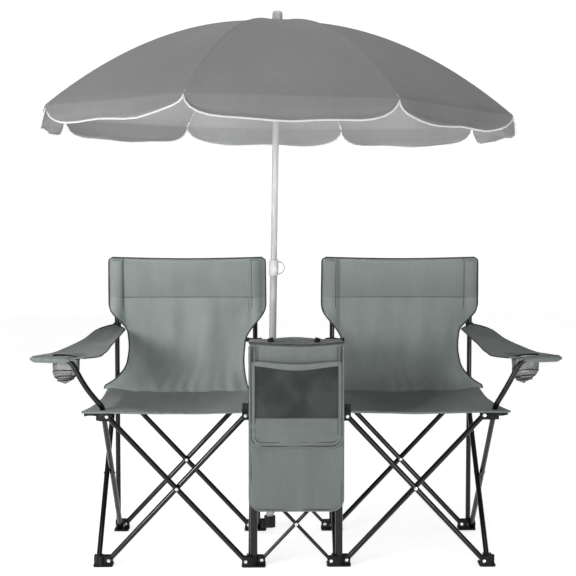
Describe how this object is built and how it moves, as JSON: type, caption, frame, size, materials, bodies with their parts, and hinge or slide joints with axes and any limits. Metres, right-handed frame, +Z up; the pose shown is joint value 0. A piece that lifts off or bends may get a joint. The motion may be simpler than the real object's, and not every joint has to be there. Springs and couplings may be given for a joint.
{
  "type": "folding double camp chair",
  "caption": "Folding double camp chair with scissor frame, cooler bag with lid between the seats, mesh cup holders and a canopy umbrella on a telescoping pole.",
  "frame": {"origin": "on the ground, under the middle of the whole part's box", "axes": "+Z up, +Y to the back of the chair, +X to the sitter's left hand side, which is the right of the picture"},
  "size_m": [1.4514, 1.3466, 1.5932],
  "materials": {
    "black_steel": "glossy black powder coat",
    "black_plastic": "moulded, satin",
    "chair_cloth": "coated woven polyester, grey green",
    "seat_cloth": "coated woven polyester, dark grey green",
    "canopy_cloth": "thin woven polyester, mid grey",
    "white_steel": "glossy white powder coat",
    "white_plastic": "moulded, glossy"
  },
  "bodies": {
    "root": {"foot_back_inner_left": "black_plastic", "post_back_inner_left": "black_steel"},
    "back_left_tube_a": {"back_left_tube_a": "black_steel"},
    "back_left_tube_b": {"back_left_tube_b": "black_steel"},
    "back_outer_left": {"foot_back_outer_left": "black_plastic", "post_back_outer_left": "black_steel", "backrest_left": "chair_cloth", "armrest_left": "chair_cloth"},
    "slider_back_outer_left": {"slider_back_outer_left": "black_plastic"},
    "slider_back_inner_left": {"slider_back_inner_left": "black_plastic", "seat_left": "seat_cloth"},
    "inner_left_tube_a": {"inner_left_tube_a": "black_steel"},
    "inner_left_tube_b": {"inner_left_tube_b": "black_steel"},
    "front_inner_left": {"foot_front_inner_left": "black_plastic", "post_front_inner_left": "black_steel", "cooler_bag": "chair_cloth"},
    "slider_front_inner_left": {"slider_front_inner_left": "black_plastic"},
    "front_left_tube_a": {"front_left_tube_a": "black_steel"},
    "front_left_tube_b": {"front_left_tube_b": "black_steel"},
    "front_outer_left": {"foot_front_outer_left": "black_plastic"},
    "hub_front_outer_left": {"hub_front_outer_left": "black_plastic"},
    "arm_tube_left": {"arm_tube_left": "black_steel"},
    "outer_left_tube": {"outer_left_tube": "black_steel"},
    "back_centre_tube_b": {"back_centre_tube_b": "black_steel"},
    "back_centre_tube_a": {"back_centre_tube_a": "black_steel"},
    "back_inner_right": {"foot_back_inner_right": "black_plastic", "post_back_inner_right": "black_steel"},
    "middle_slider_back_right": {"middle_slider_back_right": "black_plastic"},
    "middle_slider_back_left": {"middle_slider_back_left": "black_plastic"},
    "front_centre_tube_b": {"front_centre_tube_b": "black_steel"},
    "front_centre_tube_a": {"front_centre_tube_a": "black_steel"},
    "middle_slider_front_right": {"middle_slider_front_right": "black_plastic"},
    "middle_slider_front_left": {"middle_slider_front_left": "black_plastic"},
    "inner_right_tube_a": {"inner_right_tube_a": "black_steel"},
    "inner_right_tube_b": {"inner_right_tube_b": "black_steel"},
    "front_inner_right": {"foot_front_inner_right": "black_plastic", "post_front_inner_right": "black_steel"},
    "slider_front_inner_right": {"slider_front_inner_right": "black_plastic"},
    "back_right_tube_b": {"back_right_tube_b": "black_steel"},
    "back_right_tube_a": {"back_right_tube_a": "black_steel"},
    "back_outer_right": {"foot_back_outer_right": "black_plastic", "post_back_outer_right": "black_steel", "backrest_right": "chair_cloth", "armrest_right": "chair_cloth"},
    "slider_back_outer_right": {"slider_back_outer_right": "black_plastic"},
    "slider_back_inner_right": {"slider_back_inner_right": "black_plastic", "seat_right": "seat_cloth"},
    "front_right_tube_b": {"front_right_tube_b": "black_steel"},
    "front_right_tube_a": {"front_right_tube_a": "black_steel"},
    "front_outer_right": {"foot_front_outer_right": "black_plastic"},
    "hub_front_outer_right": {"hub_front_outer_right": "black_plastic"},
    "arm_tube_right": {"arm_tube_right": "black_steel"},
    "outer_right_tube": {"outer_right_tube": "black_steel"},
    "umbrella_lower": {"umbrella_pole_lower": "white_steel", "umbrella_collar": "white_plastic"},
    "umbrella_upper": {"umbrella_pole_upper": "white_steel", "umbrella_crown": "white_steel", "umbrella_runner": "white_plastic", "umbrella_canopy": "canopy_cloth"},
    "bag_lid": {"bag_lid": "chair_cloth"}
  },
  "joints": [
    {"name": "fold", "type": "hinge", "parent": "root", "child": "back_left_tube_a", "pos_m": [-0.13861, 0.0425, 0.016], "axis": [0, 1, 0], "range_deg": [0, 36], "deforming": ["seat_left", "seat_right", "backrest_left", "backrest_right", "armrest_left", "armrest_right", "cooler_bag", "bag_lid"]},
    {"name": "back_left_tube_b_turn", "type": "hinge", "parent": "back_left_tube_a", "child": "back_left_tube_b", "pos_m": [-0.32911, 0.0425, 0.2185], "axis": [0, 1, 0], "range_deg": [-72, 0]},
    {"name": "back_outer_left_turn", "type": "hinge", "parent": "back_left_tube_b", "child": "back_outer_left", "pos_m": [-0.51961, 0.0425, 0.016], "axis": [0, 1, 0], "range_deg": [0, 36]},
    {"name": "slider_back_outer_left_turn", "type": "hinge", "parent": "back_left_tube_a", "child": "slider_back_outer_left", "pos_m": [-0.51961, 0.0425, 0.421], "axis": [0, 1, 0], "range_deg": [-36, 0]},
    {"name": "slider_back_inner_left_turn", "type": "hinge", "parent": "back_left_tube_b", "child": "slider_back_inner_left", "pos_m": [-0.13861, 0.0425, 0.421], "axis": [0, 1, 0], "range_deg": [0, 36]},
    {"name": "inner_left_tube_a_turn", "type": "hinge", "parent": "root", "child": "inner_left_tube_a", "pos_m": [-0.11661, 0.0205, 0.016], "axis": [-1, 0, 0], "range_deg": [0, 36]},
    {"name": "inner_left_tube_b_turn", "type": "hinge", "parent": "inner_left_tube_a", "child": "inner_left_tube_b", "pos_m": [-0.11661, -0.17, 0.2185], "axis": [-1, 0, 0], "range_deg": [-72, 0]},
    {"name": "front_inner_left_turn", "type": "hinge", "parent": "inner_left_tube_b", "child": "front_inner_left", "pos_m": [-0.11661, -0.3605, 0.016], "axis": [-1, 0, 0], "range_deg": [0, 36]},
    {"name": "slider_front_inner_left_turn", "type": "hinge", "parent": "inner_left_tube_a", "child": "slider_front_inner_left", "pos_m": [-0.11661, -0.3605, 0.421], "axis": [-1, 0, 0], "range_deg": [-36, 0]},
    {"name": "front_left_tube_a_turn", "type": "hinge", "parent": "front_inner_left", "child": "front_left_tube_a", "pos_m": [-0.13861, -0.3825, 0.016], "axis": [0, 1, 0], "range_deg": [0, 36]},
    {"name": "front_left_tube_b_turn", "type": "hinge", "parent": "front_left_tube_a", "child": "front_left_tube_b", "pos_m": [-0.32911, -0.3825, 0.2185], "axis": [0, 1, 0], "range_deg": [-72, 0]},
    {"name": "front_outer_left_turn", "type": "hinge", "parent": "front_left_tube_b", "child": "front_outer_left", "pos_m": [-0.51961, -0.3825, 0.016], "axis": [0, 1, 0], "range_deg": [0, 36]},
    {"name": "hub_front_outer_left_turn", "type": "hinge", "parent": "front_left_tube_a", "child": "hub_front_outer_left", "pos_m": [-0.51961, -0.3825, 0.421], "axis": [0, 1, 0], "range_deg": [-36, 0]},
    {"name": "arm_tube_left_turn", "type": "hinge", "parent": "back_outer_left", "child": "arm_tube_left", "pos_m": [-0.54161, 0.0205, 0.016], "axis": [-1, 0, 0], "range_deg": [0, 36]},
    {"name": "outer_left_tube_turn", "type": "hinge", "parent": "arm_tube_left", "child": "outer_left_tube", "pos_m": [-0.54161, -0.17, 0.2185], "axis": [-1, 0, 0], "range_deg": [-72, 0]},
    {"name": "back_centre_tube_b_turn", "type": "hinge", "parent": "root", "child": "back_centre_tube_b", "pos_m": [-0.09461, 0.0425, 0.016], "axis": [0, 1, 0], "range_deg": [-36, 0]},
    {"name": "back_centre_tube_a_turn", "type": "hinge", "parent": "back_centre_tube_b", "child": "back_centre_tube_a", "pos_m": [0.00189, 0.0425, 0.11858], "axis": [0, 1, 0], "range_deg": [0, 72]},
    {"name": "back_inner_right_turn", "type": "hinge", "parent": "back_centre_tube_a", "child": "back_inner_right", "pos_m": [0.09839, 0.0425, 0.016], "axis": [0, 1, 0], "range_deg": [-36, 0]},
    {"name": "middle_slider_back_right_turn", "type": "hinge", "parent": "back_centre_tube_b", "child": "middle_slider_back_right", "pos_m": [0.09839, 0.0425, 0.22116], "axis": [0, 1, 0], "range_deg": [0, 36]},
    {"name": "middle_slider_back_left_turn", "type": "hinge", "parent": "back_centre_tube_a", "child": "middle_slider_back_left", "pos_m": [-0.09461, 0.0425, 0.22116], "axis": [0, 1, 0], "range_deg": [-36, 0]},
    {"name": "front_centre_tube_b_turn", "type": "hinge", "parent": "front_inner_left", "child": "front_centre_tube_b", "pos_m": [-0.09461, -0.3825, 0.016], "axis": [0, 1, 0], "range_deg": [-36, 0]},
    {"name": "front_centre_tube_a_turn", "type": "hinge", "parent": "front_centre_tube_b", "child": "front_centre_tube_a", "pos_m": [0.00189, -0.3825, 0.11858], "axis": [0, 1, 0], "range_deg": [0, 72]},
    {"name": "middle_slider_front_right_turn", "type": "hinge", "parent": "front_centre_tube_b", "child": "middle_slider_front_right", "pos_m": [0.09839, -0.3825, 0.22116], "axis": [0, 1, 0], "range_deg": [0, 36]},
    {"name": "middle_slider_front_left_turn", "type": "hinge", "parent": "front_centre_tube_a", "child": "middle_slider_front_left", "pos_m": [-0.09461, -0.3825, 0.22116], "axis": [0, 1, 0], "range_deg": [-36, 0]},
    {"name": "inner_right_tube_a_turn", "type": "hinge", "parent": "back_inner_right", "child": "inner_right_tube_a", "pos_m": [0.12039, 0.0205, 0.016], "axis": [-1, 0, 0], "range_deg": [0, 36]},
    {"name": "inner_right_tube_b_turn", "type": "hinge", "parent": "inner_right_tube_a", "child": "inner_right_tube_b", "pos_m": [0.12039, -0.17, 0.2185], "axis": [-1, 0, 0], "range_deg": [-72, 0]},
    {"name": "front_inner_right_turn", "type": "hinge", "parent": "inner_right_tube_b", "child": "front_inner_right", "pos_m": [0.12039, -0.3605, 0.016], "axis": [-1, 0, 0], "range_deg": [0, 36]},
    {"name": "slider_front_inner_right_turn", "type": "hinge", "parent": "inner_right_tube_a", "child": "slider_front_inner_right", "pos_m": [0.12039, -0.3605, 0.421], "axis": [-1, 0, 0], "range_deg": [-36, 0]},
    {"name": "back_right_tube_b_turn", "type": "hinge", "parent": "back_inner_right", "child": "back_right_tube_b", "pos_m": [0.14239, 0.0425, 0.016], "axis": [0, 1, 0], "range_deg": [-36, 0]},
    {"name": "back_right_tube_a_turn", "type": "hinge", "parent": "back_right_tube_b", "child": "back_right_tube_a", "pos_m": [0.33289, 0.0425, 0.2185], "axis": [0, 1, 0], "range_deg": [0, 72]},
    {"name": "back_outer_right_turn", "type": "hinge", "parent": "back_right_tube_a", "child": "back_outer_right", "pos_m": [0.52339, 0.0425, 0.016], "axis": [0, 1, 0], "range_deg": [-36, 0]},
    {"name": "slider_back_outer_right_turn", "type": "hinge", "parent": "back_right_tube_b", "child": "slider_back_outer_right", "pos_m": [0.52339, 0.0425, 0.421], "axis": [0, 1, 0], "range_deg": [0, 36]},
    {"name": "slider_back_inner_right_turn", "type": "hinge", "parent": "back_right_tube_a", "child": "slider_back_inner_right", "pos_m": [0.14239, 0.0425, 0.421], "axis": [0, 1, 0], "range_deg": [-36, 0]},
    {"name": "front_right_tube_b_turn", "type": "hinge", "parent": "front_inner_right", "child": "front_right_tube_b", "pos_m": [0.14239, -0.3825, 0.016], "axis": [0, 1, 0], "range_deg": [-36, 0]},
    {"name": "front_right_tube_a_turn", "type": "hinge", "parent": "front_right_tube_b", "child": "front_right_tube_a", "pos_m": [0.33289, -0.3825, 0.2185], "axis": [0, 1, 0], "range_deg": [0, 72]},
    {"name": "front_outer_right_turn", "type": "hinge", "parent": "front_right_tube_a", "child": "front_outer_right", "pos_m": [0.52339, -0.3825, 0.016], "axis": [0, 1, 0], "range_deg": [-36, 0]},
    {"name": "hub_front_outer_right_turn", "type": "hinge", "parent": "front_right_tube_b", "child": "hub_front_outer_right", "pos_m": [0.52339, -0.3825, 0.421], "axis": [0, 1, 0], "range_deg": [0, 36]},
    {"name": "arm_tube_right_turn", "type": "hinge", "parent": "back_outer_right", "child": "arm_tube_right", "pos_m": [0.54539, 0.0205, 0.016], "axis": [-1, 0, 0], "range_deg": [0, 36]},
    {"name": "outer_right_tube_turn", "type": "hinge", "parent": "arm_tube_right", "child": "outer_right_tube", "pos_m": [0.54539, -0.17, 0.2185], "axis": [-1, 0, 0], "range_deg": [-72, 0]},
    {"name": "umbrella_lift", "type": "slide", "parent": "root", "child": "umbrella_lower", "axis": [0.0157, 0, 0.9999], "range_m": [0, 0.05]},
    {"name": "umbrella_height", "type": "slide", "parent": "umbrella_lower", "child": "umbrella_upper", "axis": [0.0157, 0, 0.9999], "range_m": [-0.25, 0]},
    {"name": "bag_lid_hinge", "type": "hinge", "parent": "front_inner_left", "child": "bag_lid", "pos_m": [0.00189, -0.18, 0.60635], "axis": [-1, 0, 0], "range_deg": [0, 100]}
  ],
  "couplings": [
    {"joint": "back_left_tube_b_turn", "follows": "fold", "ratio": -2},
    {"joint": "back_outer_left_turn", "follows": "fold", "ratio": 1},
    {"joint": "slider_back_outer_left_turn", "follows": "fold", "ratio": -1},
    {"joint": "slider_back_inner_left_turn", "follows": "fold", "ratio": 1},
    {"joint": "inner_left_tube_a_turn", "follows": "fold", "ratio": 1},
    {"joint": "inner_left_tube_b_turn", "follows": "fold", "ratio": -2},
    {"joint": "front_inner_left_turn", "follows": "fold", "ratio": 1},
    {"joint": "slider_front_inner_left_turn", "follows": "fold", "ratio": -1},
    {"joint": "front_left_tube_a_turn", "follows": "fold", "ratio": 1},
    {"joint": "front_left_tube_b_turn", "follows": "fold", "ratio": -2},
    {"joint": "front_outer_left_turn", "follows": "fold", "ratio": 1},
    {"joint": "hub_front_outer_left_turn", "follows": "fold", "ratio": -1},
    {"joint": "arm_tube_left_turn", "follows": "fold", "ratio": 1},
    {"joint": "outer_left_tube_turn", "follows": "fold", "ratio": -2},
    {"joint": "back_centre_tube_b_turn", "follows": "fold", "ratio": -1},
    {"joint": "back_centre_tube_a_turn", "follows": "fold", "ratio": 2},
    {"joint": "back_inner_right_turn", "follows": "fold", "ratio": -1},
    {"joint": "middle_slider_back_right_turn", "follows": "fold", "ratio": 1},
    {"joint": "middle_slider_back_left_turn", "follows": "fold", "ratio": -1},
    {"joint": "front_centre_tube_b_turn", "follows": "fold", "ratio": -1},
    {"joint": "front_centre_tube_a_turn", "follows": "fold", "ratio": 2},
    {"joint": "middle_slider_front_right_turn", "follows": "fold", "ratio": 1},
    {"joint": "middle_slider_front_left_turn", "follows": "fold", "ratio": -1},
    {"joint": "inner_right_tube_a_turn", "follows": "fold", "ratio": 1},
    {"joint": "inner_right_tube_b_turn", "follows": "fold", "ratio": -2},
    {"joint": "front_inner_right_turn", "follows": "fold", "ratio": 1},
    {"joint": "slider_front_inner_right_turn", "follows": "fold", "ratio": -1},
    {"joint": "back_right_tube_b_turn", "follows": "fold", "ratio": -1},
    {"joint": "back_right_tube_a_turn", "follows": "fold", "ratio": 2},
    {"joint": "back_outer_right_turn", "follows": "fold", "ratio": -1},
    {"joint": "slider_back_outer_right_turn", "follows": "fold", "ratio": 1},
    {"joint": "slider_back_inner_right_turn", "follows": "fold", "ratio": -1},
    {"joint": "front_right_tube_b_turn", "follows": "fold", "ratio": -1},
    {"joint": "front_right_tube_a_turn", "follows": "fold", "ratio": 2},
    {"joint": "front_outer_right_turn", "follows": "fold", "ratio": -1},
    {"joint": "hub_front_outer_right_turn", "follows": "fold", "ratio": 1},
    {"joint": "arm_tube_right_turn", "follows": "fold", "ratio": 1},
    {"joint": "outer_right_tube_turn", "follows": "fold", "ratio": -2}
  ]
}
